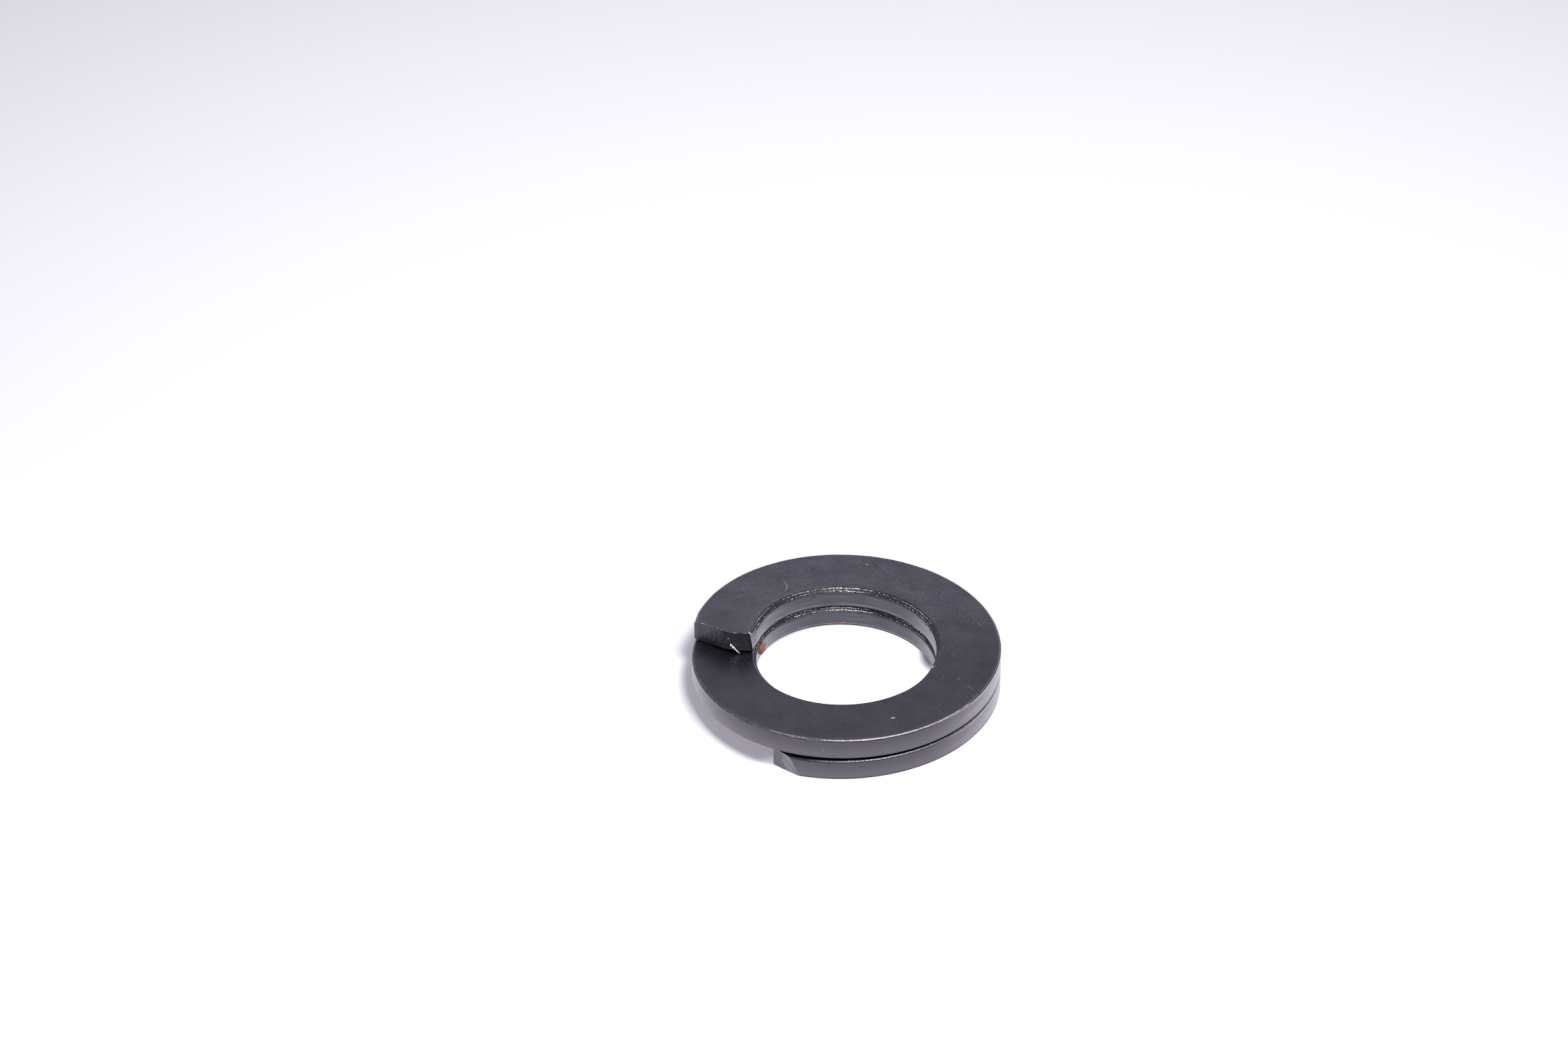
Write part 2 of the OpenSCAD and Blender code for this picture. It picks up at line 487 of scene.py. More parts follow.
class Graph:
    """Short calls for building the nodes of a material or a world."""

    def __init__(self, owner, shader="Principled BSDF"):
        owner.use_nodes = True
        self.owner = owner
        self.tree = owner.node_tree
        self.shader = self.tree.nodes[shader]

    def feed(self, socket, value):
        """Links or sets an input. Colours are written without their alpha."""
        if isinstance(value, bpy.types.NodeSocket):
            self.tree.links.new(value, socket)
        elif socket.type == "RGBA":
            socket.default_value = (*value, 1)
        else:
            socket.default_value = value

    def shade(self, **inputs):
        """Sets inputs of the shader, written as Base_Color=..."""
        for name, value in inputs.items():
            self.feed(self.shader.inputs[name.replace("_", " ")], value)

    def node(self, kind, *values, **settings):
        """Makes a node with these settings, and feeds its inputs in order."""
        made = self.tree.nodes.new("ShaderNode" + kind)
        for name, value in settings.items():
            setattr(made, name, value)
        for socket, value in zip(made.inputs, values):
            self.feed(socket, value)
        return made

    def math(self, operation, *values, clamp=False):
        return self.node("Math", *values, operation=operation, use_clamp=clamp).outputs[0]

    def add(self, first, *rest):
        for value in rest:
            first = self.math("ADD", first, value)
        return first

    def times(self, first, *rest):
        for value in rest:
            first = self.math("MULTIPLY", first, value)
        return first

    def unless(self, value):
        """1 where the value is 0, and 0 where it is 1."""
        return self.math("SUBTRACT", 1.0, value)

    def swing(self, value, size):
        """The value, from 0 to 1, turned to run from -size / 2 to size / 2."""
        return self.times(self.math("SUBTRACT", value, 0.5), size)

    def stretched(self, vector, scales):
        return self.node("VectorMath", vector, scales, operation="MULTIPLY").outputs[0]

    def noise(self, vector, scale, detail=2, roughness=0.5):
        return self.node("TexNoise", vector, 0.0, scale, detail, roughness).outputs["Fac"]

    def emboss(self, vector, scale, towards, detail, roughness):
        """How much higher the noise is here than a little way towards the light."""
        moved = self.node("VectorMath", vector, towards, operation="ADD").outputs[0]
        here = self.noise(vector, scale, detail, roughness)
        return self.math("SUBTRACT", here, self.noise(moved, scale, detail, roughness))

    def ramp(self, value, low, high, to_low=0.0, to_high=1.0):
        made = self.node("MapRange", value, low, high, to_low, to_high)
        made.interpolation_type = "SMOOTHSTEP"
        return made.outputs["Result"]

    def window(self, value, low, high, soft):
        """1 between low and high, falling to 0 over soft on either side."""
        rise = self.ramp(value, low - soft, low)
        return self.times(rise, self.ramp(value, high, high + soft, 1.0, 0.0))

    def mix(self, factor, a, b):
        made = self.node("Mix", factor, data_type="RGBA")
        self.feed(made.inputs[6], a)
        self.feed(made.inputs[7], b)
        return made.outputs[2]

    def attribute(self, name, output="Fac"):
        return self.node("Attribute", attribute_name=name).outputs[output]

    def node_axis(self, vector, axis=0):
        """One part of a vector."""
        return self.node("SeparateXYZ", vector).outputs[axis]

    def measure(self, operation, *vectors):
        """A number taken from vectors, such as the distance between two."""
        return self.node("VectorMath", *vectors, operation=operation).outputs["Value"]

    def bump(self, height, distance):
        made = self.node("Bump")
        self.feed(made.inputs["Height"], height)
        self.feed(made.inputs["Distance"], distance * MM)
        return made.outputs["Normal"]

    def place(self):
        """Object coordinates in millimetres."""
        return self.stretched(self.node("TexCoord").outputs["Object"], (1 / MM,) * 3)


STEEL_MASKS = (
    "band", "crest", "rim", "bore", "peel", "tint", "grime", "glitter", "facet",
    "polish", "beaded", "pale", "rise", "stain", "edge", "wear", "torn",
)


class SteelGraph(Graph):
    """The washer's material, with the mesh's masks and the noises that several parts of it share."""

    def __init__(self):
        super().__init__(bpy.data.materials.new("blackened_steel"))
        for name in STEEL_MASKS:
            setattr(self, name, self.attribute(name))
        self.at = self.place()
        self.coil = self.attribute("coil", "Vector")
        self.cloud = self.noise(self.at, 0.5, 3)
        self.mottle = self.noise(self.at, 4.0, 3, 0.6)
        self.grain = self.noise(self.at, 16.0, 2, 0.6)
        self.pits = self.noise(self.at, 9.0, 3, 0.7)
        self.patchy = self.ramp(self.noise(self.at, 0.8, 2), 0.38, 0.66, 0.2, 1.35)
        self.scratches = self.along(0.25, 13.0, 0.7)
        self.lay = self.along(0.5, 3.0, 0.6)
        self.hatched = self.along(11.0, 1.6, 0.6)
        self.streak = self.along(3.0, 20.0, 0.75)
        self.beads = self.along(8.0, 18.0, 0.8)
        self.fleck = self.flecks()
        self.full = self.ramp(self.wear, 0.6, 1.0)
        waves = self.noise(self.stretched(self.coil, (2.2, 1.0, 1.0)), 1.0, 2)
        self.wobble = self.add(self.edge, self.swing(waves, 0.4))
        self.wear_and_sheen = rubbed_edge(self)

    def along(self, x, y, roughness):
        """Noise that follows the wire, with this many waves in a millimetre along it and across it."""
        return self.noise(self.stretched(self.coil, (x, y, 1.0)), 1.0, 3, roughness)

    def flecks(self):
        """Grains on the ridges at the hole, drawn out into lines near the upper end."""
        lined = self.ramp(self.node_axis(self.coil), 3.0, 8.0, 0.65, 0.0)
        lines = self.times(lined, self.along(0.7, 24.0, 0.6))
        return self.add(lines, self.times(self.unless(lined), self.along(5.0, 17.0, 0.75)))


def face_colour(g):
    """The upper and lower faces: towards the back, painted lighter as a sheen and with stronger painted
    shade and highlight on their relief; plain and darker at the front.
    """
    dark = g.mix(g.peel, (0.008, 0.0075, 0.011), (0.018, 0.017, 0.024))
    light = g.mix(g.peel, (0.054, 0.052, 0.064), (0.086, 0.083, 0.103))
    # Painted shade and highlight of the fine relief, as if lit from one side
    lit = g.emboss(g.at, 5.6, (0.045, -0.05, 0), 3, 0.65)
    lit = g.times(lit, g.ramp(g.peel, 0.0, 1.0, 1.0, 2.6), g.patchy)
    uneven = g.add(g.swing(g.cloud, 0.9), g.swing(g.mottle, 0.7), lit)
    face = g.mix(g.math("ADD", uneven, 0.5, clamp=True), dark, light)
    face = g.mix(g.ramp(g.pits, 0.6, 0.78, 0.0, 0.5), face, (0.02, 0.019, 0.023))
    return g.mix(g.ramp(g.grain, 0.64, 0.8, 0.0, 0.35), face, (0.13, 0.128, 0.14))


def wall_colour(g, colour):
    """The walls: smooth and lighter towards the foot outside, scratched along the wire in the hole, with a
    painted sheen in stretches.
    """
    low = g.ramp(g.rise, 0.0, 1.6, 1.0, 0.0)
    worn = g.add(g.times(low, 0.8), g.swing(g.lay, 0.5), g.swing(g.mottle, 0.3))
    worn = g.math("ADD", worn, 0.1, clamp=True)
    drawn = g.mix(worn, (0.058, 0.053, 0.062), (0.107, 0.1, 0.113))
    scored = g.mix(g.ramp(g.scratches, 0.3, 0.62), (0.034, 0.032, 0.038), (0.088, 0.085, 0.1))
    colour = g.mix(g.bore, g.mix(g.rim, colour, drawn), scored)
    # A sheen painted on the walls, stronger towards the foot outside and streaked along the scratches in the
    # hole
    wear_and_sheen = g.times(g.ramp(g.lay, 0.2, 0.7, 0.6, 1.0), g.ramp(g.rise, 0.0, 1.6, 1.35, 0.6))
    wear_and_sheen = g.mix(g.bore, wear_and_sheen, g.ramp(g.scratches, 0.36, 0.6, 0.1, 1.8))
    wear_and_sheen = g.math("MULTIPLY", g.polish, wear_and_sheen, clamp=True)
    return g.mix(wear_and_sheen, colour, (0.17, 0.162, 0.182))


def end_colour(g, colour):
    """The end faces: torn at the upper end, with painted shade towards their foot, and a painted sheen band
    on the lower end's cut corner.
    """
    torn = g.mix(g.ramp(g.node_axis(g.coil), 10.2, 11.1), (0.07, 0.07, 0.087), (0.054, 0.052, 0.062))
    torn = g.mix(g.ramp(g.hatched, 0.35, 0.6, 0.3, 0.0), torn, (0.02, 0.02, 0.024))
    # Painted shade on the lower part of the end faces, darkening them towards their foot
    painted_foot_shade = g.ramp(g.node_axis(g.coil, 1), -0.85, -0.35, 0.85, 0.0)
    torn = g.mix(painted_foot_shade, torn, (0.01, 0.01, 0.012))
    torn = g.mix(g.ramp(g.pits, 0.52, 0.75, 0.0, 0.35), torn, (0.025, 0.024, 0.028))
    # A sheen painted on the lower end's cut corner
    return g.mix(g.facet, g.mix(g.torn, colour, torn), (0.18, 0.172, 0.2))


def stain_and_highlight_colour(g, colour):
    """A pale line painted low along the walls as a highlight, the walls' foot darkened to brown, and brown
    smears.
    """
    walls = g.math("MAXIMUM", g.rim, g.bore)
    # A pale line painted as a highlight low on the walls
    hem = g.times(g.window(g.rise, 0.19, 0.23, 0.05), g.ramp(g.lay, 0.3, 0.6), walls, g.pale, 0.8)
    colour = g.mix(hem, colour, (0.24, 0.23, 0.25))
    foot = g.times(g.ramp(g.rise, 0.1, 0.16, 1.0, 0.0), walls, g.stain)
    colour = g.mix(foot, colour, (0.016, 0.009, 0.007))
    smear = g.times(g.tint, g.ramp(g.add(g.mottle, g.swing(g.grain, 0.4)), 0.3, 0.7))
    return g.mix(g.math("MINIMUM", smear, 1.0), colour, (0.17, 0.135, 0.12))


def ridge_colour(g, colour):
    """The rough ridges at the hole: crests and grains painted bright as glints on a black ground."""
    # Glints painted on the crests, strongest in the stretches listed for them
    wear_and_sheen = g.times(g.crest, g.add(g.times(g.glitter, 0.5), 0.18))
    spark = g.ramp(g.add(wear_and_sheen, g.swing(g.fleck, 2.8)), 0.42, 0.6)
    ground = g.mix(g.ramp(g.grain, 0.4, 0.65), (0.006, 0.0058, 0.0065), (0.042, 0.04, 0.044))
    bright = g.mix(g.glitter, (0.42, 0.4, 0.36), (0.95, 0.94, 0.95))
    return g.mix(g.band, colour, g.mix(spark, ground, bright))


def rubbed_edge(g):
    """How bare the outer edge is rubbed: in thin lines, or over all of it where the wear is full."""
    upper_line = g.window(g.wobble, 0.05, 0.14, 0.12)
    lower_line = g.times(g.window(g.wobble, 0.6, 0.75, 0.18), 0.8)
    thin = g.times(g.math("MAXIMUM", upper_line, lower_line), g.ramp(g.full, 0.0, 1.0, 1.0, 0.2))
    bare = g.times(thin, g.wear, 1.3)
    lines = g.ramp(g.add(bare, g.swing(g.streak, 1.2)), 0.3, 0.9)
    lines = g.times(lines, g.ramp(bare, 0.05, 0.3))
    glimmer = g.ramp(g.along(6.0, 14.0, 0.8), 0.36, 0.62, 0.4, 1.1)
    whole = g.times(g.full, g.ramp(g.streak, 0.3, 0.65, 0.45, 1.0), glimmer)
    return g.math("MAXIMUM", lines, g.times(g.window(g.edge, 0.25, 0.5, 0.25), whole))


def edge_colour(g, colour):
    """The outer edge: a brown margin, a dark line, bare metal, a painted lilac reflection towards the back,
    a painted sheen on its shoulder and painted glints. Then the dents darkened to near black.
    """
    margin = g.ramp(g.add(g.wear, g.swing(g.mottle, 0.8)), 0.45, 0.9)
    margin = g.times(g.window(g.wobble, -0.55, -0.02, 0.25), margin, 0.75)
    colour = g.mix(margin, colour, (0.075, 0.055, 0.045))
    dark_line = g.times(g.window(g.wobble, 0.3, 0.48, 0.1), g.unless(g.full), 0.35)
    colour = g.mix(dark_line, colour, (0.022, 0.019, 0.018))
    metal = g.mix(g.full, (0.3, 0.285, 0.28), (0.58, 0.565, 0.58))
    colour = g.mix(g.times(g.wear_and_sheen, 0.9), colour, metal)
    # A lilac reflection painted along the upper outer edge towards the back
    far_rim = g.times(g.window(g.wobble, -0.22, 0.2, 0.12), g.peel, 0.72)
    colour = g.mix(far_rim, colour, (0.15, 0.145, 0.19))
    # A sheen painted on the lower shoulder of the edge, where the walls' sheen is painted
    shoulder = g.times(g.window(g.edge, 0.62, 1.0, 0.12), g.ramp(g.streak, 0.2, 0.6, 0.5, 1.0))
    shoulder = g.math("MULTIPLY", shoulder, g.polish, clamp=True)
    colour = g.mix(shoulder, colour, (0.3, 0.29, 0.315))
    glint = g.times(g.window(g.edge, 0.25, 0.5, 0.25), g.beaded, g.ramp(g.beads, 0.42, 0.62))
    colour = g.mix(glint, colour, (0.29, 0.28, 0.3))
    return g.mix(g.math("MINIMUM", g.grime, 1.0), colour, (0.008, 0.007, 0.007))


def steel_relief(g):
    """Height of the fine relief, in units of the bump's distance."""
    flat = g.unless(g.math("MAXIMUM", g.math("MAXIMUM", g.rim, g.bore), g.band))
    skin = g.times(g.noise(g.at, 3.2, 2, 0.55), 8.0)
    creases = g.times(g.ramp(g.noise(g.at, 2.1, 1), 0.42, 0.5), 1.5)
    skin = g.add(skin, creases, g.times(g.pits, -2.5))
    return g.add(
        g.times(g.ramp(g.peel, 0.0, 1.0, 0.12, 1.0), flat, g.patchy, skin),
        g.times(g.grain, 0.35),
        g.times(g.bore, g.scratches, 1.6),
        g.times(g.band, g.fleck, 9.0),
        g.times(g.wear_and_sheen, g.streak, 3.0),
        g.times(g.beaded, g.beads, g.window(g.edge, 0.0, 1.0, 0.2), 2.0),
        g.times(g.torn, g.hatched, 4.0),
    )


RELIEF_DISTANCE = 0.006


def blackened_steel():
    g = SteelGraph()
    colour = face_colour(g)
    for paint in (wall_colour, end_colour, stain_and_highlight_colour, ridge_colour, edge_colour):
        colour = paint(g, colour)
    rough = g.add(g.ramp(g.mottle, 0.2, 0.8, 0.36, 0.46), g.swing(g.grain, 0.12))
    rough = g.math("SUBTRACT", rough, g.times(g.band, 0.08))
    rough = g.math("ADD", rough, g.times(g.torn, 0.15), clamp=True)
    g.shade(Base_Color=colour, Metallic=1.0, Roughness=rough)
    g.shade(Normal=g.bump(steel_relief(g), RELIEF_DISTANCE))
    g.shade(Coat_Weight=0.5, Coat_Roughness=0.35, Coat_IOR=1.5)
    return g.owner


# The grid over each end, how far it keeps inside the wire's outline, and its mean depth
END_ROWS, END_COLUMNS = 26, 78
END_INSET = 0.025
END_DEPTH = 0.02


def end_outline(w, near_end):
    """Inner and outer radius of an end face at height w, a little inside the wire's outline."""
    band = np.where(w > 0, BAND * near_end, FOOT)
    bevel = np.where(w > 0, RIM_BEVEL, FOOT)
    bore = BORE_R + END_INSET + np.maximum(0, abs(w) - (HALF - END_INSET - band))
    rim = RIM_R - END_INSET - np.maximum(0, abs(w) - (HALF - END_INSET - bevel))
    return bore, rim


def end_face(station, near_end, depth):
    """Grid over an end of the wire. depth(across, up) is how far the metal is torn back there."""
    w = np.linspace(HALF - END_INSET, END_INSET - HALF, END_ROWS)[:, None]
    across = np.linspace(0, 1, END_COLUMNS)[None, :]
    bore, rim = end_outline(w, near_end)
    r = flared(station, bore + (rim - bore) * across, w)
    w = np.broadcast_to(w, r.shape)
    into = depth(np.broadcast_to(across, r.shape), share(w, -HALF, HALF))
    sign = 1 if station == 0 else -1
    arc = arc_at(station, r, w) + sign * arc_of(into, r)
    return place(arc, r, w).reshape(-1, 3), np.stack([r, w], -1).reshape(-1, 2)


def grid_faces(rows, columns, first=0, closed=False):
    """Faces of a grid from its first vertex on. Its columns may close into a ring."""
    k = first + np.arange(rows - 1)[:, None] * columns
    i = np.arange(columns if closed else columns - 1)[None, :]
    j = (i + 1) % columns
    return np.stack([k + i, k + j, k + columns + j, k + columns + i], -1).reshape(-1, 4).tolist()


def border(rows, columns):
    """Indices round the edge of a grid, starting at its first corner along the first row."""
    index = np.arange(rows * columns).reshape(rows, columns)
    return np.concatenate([index[0, :-1], index[:-1, -1], index[-1, :0:-1], index[:0:-1, 0]])


def stitch(outer, inner, outer_xy, inner_xy):
    """Triangles between two closed loops, each a list of vertices with places in a plane."""
    start = int(np.argmin(np.hypot(*(inner_xy - outer_xy[0]).T)))
    inner, inner_xy = np.roll(inner, -start), np.roll(inner_xy, -start, 0)
    faces, i, j, m, n = [], 0, 0, len(outer), len(inner)
    while i < m or j < n:
        a, b = outer_xy[i % m], inner_xy[j % n]
        a_next, b_next = outer_xy[(i + 1) % m], inner_xy[(j + 1) % n]
        take_outer = j >= n or (i < m and np.hypot(*(a_next - b)) <= np.hypot(*(b_next - a)))
        third = outer[(i + 1) % m] if take_outer else inner[(j + 1) % n]
        faces.append([int(outer[i % m]), int(third), int(inner[j % n])])
        if take_outer:
            i += 1
        else:
            j += 1
    return faces


def off_edges(across, up):
    """0 round the edge of an end face, 1 inside it."""
    off_top, off_sides = np.minimum(up, 1 - up), np.minimum(across, 1 - across)
    return np.minimum(1, 12 * off_top) * np.minimum(1, 24 * off_sides)


def tear(across, up):
    """Upper end: a smooth sheared part by the rim, torn layers, and a hollow by the hole."""
    x, y = across * (RIM_R - BORE_R), up * 2 * HALF
    layers = 0.045 * hump(across - 0.16 * (up - 0.5) ** 2, 0.6, 0.05)
    layers = layers + 0.05 * hump(across - 0.2 * (up - 0.45) ** 2, 0.68, 0.035) * smooth(up * 2)
    layers = layers + 0.03 * hump(across + 0.1 * up, 0.53, 0.04)
    hollow = 0.1 * smooth(share(across, 0.72, 0.35)) * np.sin(np.pi * np.clip(up, 0, 1)) ** 0.7
    rough = 0.006 * wander_over(x, y, 0.24, 51) + 0.006 * wander_over(x, y, 0.09, 52)
    return (END_DEPTH + layers + hollow + rough) * off_edges(across, up)


def shear(across, up):
    """Lower end: a plain sheared face with faint streaks."""
    x, y = across * (RIM_R - BORE_R), up * 2 * HALF
    streaks = 0.008 * wander_over(x + 0.5 * y, y, (0.1, 0.9), 53)
    rough = 0.008 * wander_over(x, y, 0.3, 54)
    return (END_DEPTH + streaks + rough) * off_edges(across, up)


def cut_sheen_band(flat):
    """Where a sheen is painted on the cut corner of the lower end: a slanting band towards the rim."""
    r, w = flat.T
    out, up = share(r, LOWER_CUT_R, RIM_R), share(w, -HALF, HALF)
    band = between(out + 0.06 * wander(w, 0.25, 55), 0.54, 0.98, 0.08)
    return band * (0.55 + 0.3 * wander(out + 0.5 * up, 0.07, 56))


def end_seam(wire, station, near_end, first, flat):
    """Triangles between the wire's last outline and the grid over its end."""
    ring = len(wire.sec_r)
    edge = border(END_ROWS, END_COLUMNS)
    outer = (0 if station == 0 else (STATIONS - 1) * ring) + np.arange(ring)
    on_band = (wire.sec_w > HALF - BAND - 0.01) & (wire.sec_r < BORE_R + BAND + 0.01)
    size = np.where(on_band, near_end, 1.0)
    loop_r = flared(station, BORE_R + (wire.sec_r - BORE_R) * size, wire.sec_w)
    loop = np.stack([loop_r, HALF - (HALF - wire.sec_w) * size], -1)
    return stitch(outer, first + edge, loop, flat[edge])


# Each end: its station, the size of its bevel at the hole, its depth, and how torn it looks
ENDS = ((0.0, END_BAND, tear, 1.0), (COIL_ARC, 1.0, shear, 0.1))


def washer_piece(material):
    wire = Wire()
    ring = len(wire.sec_r)
    points, coils = [wire.points.reshape(-1, 3)], [wire.coil().reshape(-1, 3)]
    masks = {name: [mask.ravel()] for name, mask in wire.masks.items()}
    faces = grid_faces(STATIONS, ring, closed=True)
    total = STATIONS * ring
    for station, near_end, depth, torn in ENDS:
        grid, flat = end_face(station, near_end, depth)
        points.append(grid)
        coils.append(np.pad(flat, ((0, 0), (0, 1))))
        cap = {"torn": torn, "rim": 1 - torn, "edge": NO_EDGE, "rise": 1.0}
        cap["facet"] = cut_sheen_band(flat) * (1 - torn)
        for name, parts in masks.items():
            parts.append(np.broadcast_to(cap.get(name, 0.0), len(grid)))
        end = grid_faces(END_ROWS, END_COLUMNS, total)
        end += end_seam(wire, station, near_end, total, flat)
        faces += [face[::-1] for face in end] if station == 0 else end
        total += len(grid)
    masks = {name: np.concatenate(parts) for name, parts in masks.items()}
    piece = finish_mesh("washer", np.concatenate(points), faces, material, masks, np.concatenate(coils))
    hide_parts(NODE)


washer_piece(blackened_steel())

# Dirt, fibres and torn slivers. Each lies on the upper face, or on the wall of the hole or the rim
FACINGS = {"top": (0, 1), "bore": (-1, 0), "rim": (1, 0)}


def axes_at(arc, r, facing):
    """Directions along the wire, across it and outward from its surface."""
    angle = math.radians(UPPER_END_ANGLE - arc)
    radial = np.array([math.cos(angle), math.sin(angle), 0])
    along = np.array([radial[1], -radial[0], 0])
    out = FACINGS[facing][0] * radial + FACINGS[facing][1] * np.array([0, 0, 1])
    return np.stack([along, np.cross(out, along), out])


def lump(size, rough, seed, rings=2):
    """An irregular lump of those three radii: its points and faces."""
    shape = bmesh.new()
    bmesh.ops.create_icosphere(shape, subdivisions=rings, radius=1)
    points = np.array([vertex.co[:] for vertex in shape.verts])
    faces = [[vertex.index for vertex in face.verts] for face in shape.faces]
    shape.free()
    random = np.random.default_rng(seed)
    wave = np.sin(points @ random.normal(0, 2.2, (3, 3)) + random.uniform(0, 6, 3)).mean(1)
    grit = random.uniform(-1, 1, len(points))
    return points * (1 + rough * (wave + 0.4 * grit))[:, None] * np.array(size), faces


def stretched_over(path, values):
    """A value for each point of the path, drawn through those given, or one for all."""
    values = np.atleast_1d(values)
    return np.interp(np.linspace(0, 1, len(path)), np.linspace(0, 1, len(values)), values)


class Heap:
    """Gathers small shapes that make one piece."""

    def __init__(self):
        self.points, self.faces, self.shades, self.total = [], [], [], 0

    def put(self, points, faces, shade=0.5):
        self.faces += [[self.total + i for i in face] for face in faces]
        self.points.append(points)
        self.shades.append(np.full(len(points), shade))
        self.total += len(points)

    def grain(self, arc, r, z, facing, size, rough=0.3, seed=0, turn=0.0, shade=0.5, rings=2, sink=0.3):
        """A lump lying on the surface, turned about the outward direction."""
        points, faces = lump(size, rough, seed, rings)
        c, s = math.cos(math.radians(turn)), math.sin(math.radians(turn))
        points = points @ np.array([[c, s, 0], [-s, c, 0], [0, 0, 1]])
        points[:, 2] += size[2] * (1 - 2 * sink)
        w = HALF if facing == "top" else z - middle_z(arc)
        self.put(place(arc, r, w) + points @ axes_at(arc, r, facing), faces, shade)

    def thread(self, path, radii, shade=0.5, sides=6):
        """A tube along a curve through the points of the path."""
        path = curve_through(np.array(path, float))
        radii = stretched_over(path, radii)
        ahead = np.gradient(path, axis=0)
        ahead /= np.linalg.norm(ahead, axis=1)[:, None]
        side = np.cross(ahead, [0.13, 0.21, 0.97])
        side /= np.linalg.norm(side, axis=1)[:, None]
        upward = np.cross(side, ahead)[:, None]
        turn = np.linspace(0, 2 * math.pi, sides, endpoint=False)[None, :, None]
        rim = np.cos(turn) * side[:, None] + np.sin(turn) * upward
        points = (path[:, None] + rim * radii[:, None, None]).reshape(-1, 3)
        last = (len(path) - 1) * sides
        caps = [list(range(sides))[::-1], list(range(last, last + sides))]
        faces = grid_faces(len(path), sides, closed=True) + caps
        self.put(points, faces, np.repeat(stretched_over(path, shade), sides))

    def piece(self, name, material):
        points = np.concatenate(self.points)
        points[:, 2] = np.clip(points[:, 2], 0.001, TOP_Z - 0.002)
        points[:, :2] *= np.minimum(1, (RIM_R - 0.001) / np.hypot(*points[:, :2].T))[:, None]
        shades = {"shade": np.concatenate(self.shades)}
        return finish_mesh(name, points, self.faces, material, shades, sharp=60)


CURVE_STEPS = 6


def curve_through(points):
    """A smooth curve through the points."""
    padded = np.concatenate([2 * points[:1] - points[1:2], points, 2 * points[-1:] - points[-2:-1]])
    t = np.linspace(0, 1, CURVE_STEPS, endpoint=False)[:, None]
    pieces = []
    for a, b, c, d in zip(padded, padded[1:], padded[2:], padded[3:]):
        bend = 2 * a - 5 * b + 4 * c - d + t * (3 * b - a - 3 * c + d)
        pieces.append(b + 0.5 * t * (c - a + t * bend))
    return np.concatenate([*pieces, points[-1:]])


def on_top(stops, lift=0.01):
    """Points on the upper face from (arc, radius) or (arc, radius, extra height) stops."""
    return [place(arc, r, HALF + lift + sum(up)) for arc, r, *up in stops]


def loose_stuff(name, dark, light, roughness=0.7, metallic=0.0, scale=9.0):
    """A material that runs between two colours, by grains of its own and by each shape's shade."""
    g = Graph(bpy.data.materials.new(name))
    at = g.place()
    patches = g.noise(at, scale, 3, 0.65)
    mixed = g.ramp(g.add(g.swing(patches, 1.1), g.attribute("shade")), 0.15, 0.85)
    colour = g.mix(mixed, dark, light)
    bumps = g.bump(g.noise(at, 2.5 * scale, 3, 0.6), 0.012)
    rough = g.add(g.swing(patches, 0.2), roughness)
    g.shade(Base_Color=colour, Metallic=metallic, Roughness=rough, Normal=bumps)
    return g.owner


def crumb():
    """The red-brown crumb stuck to the lower turn's wall in the hole."""
    heap = Heap()
    for arc, z, size, seed, turn, shade in (
        (376.6, 2.44, (0.28, 0.25, 0.22), 3, 20, 0.6),
        (378.9, 2.6, (0.21, 0.22, 0.18), 4, 70, 0.8),
        (374.8, 2.28, (0.22, 0.2, 0.17), 5, -30, 0.5),
        (378.3, 2.22, (0.17, 0.18, 0.17), 6, 10, 0.3),
        (375.3, 2.62, (0.17, 0.18, 0.12), 7, 40, 0.7),
        (380.0, 2.34, (0.13, 0.15, 0.13), 8, 80, 0.2),
    ):
        heap.grain(arc, BORE_R, z, "bore", size, 0.5, seed, turn, shade, rings=3)
    dark, light = (0.05, 0.02, 0.018), (0.42, 0.19, 0.165)
    heap.piece("crumb", loose_stuff("red_brown_crumb", dark, light, 0.85, scale=10.0))


def flakes():
    """A pink-red flake and an orange speck by the lower edge of the hole's wall."""
    heap = Heap()
    for arc, z, size, rough, seed, turn, shade in (
        (446.4, 1.53, (0.25, 0.05, 0.02), 0.3, 11, -4, 0.6),
        (447.6, 1.6, (0.09, 0.06, 0.025), 0.35, 12, 30, 0.8),
        (445.3, 1.5, (0.1, 0.05, 0.02), 0.3, 13, 0, 0.35),
        (499.6, 1.46, (0.06, 0.05, 0.04), 0.3, 14, 0, 0.3),
    ):
        heap.grain(arc, BORE_R, z, "bore", size, rough, seed, turn, shade)
    heap.piece("flakes", loose_stuff("red_flake", (0.42, 0.13, 0.07), (0.72, 0.24, 0.22), 0.6))


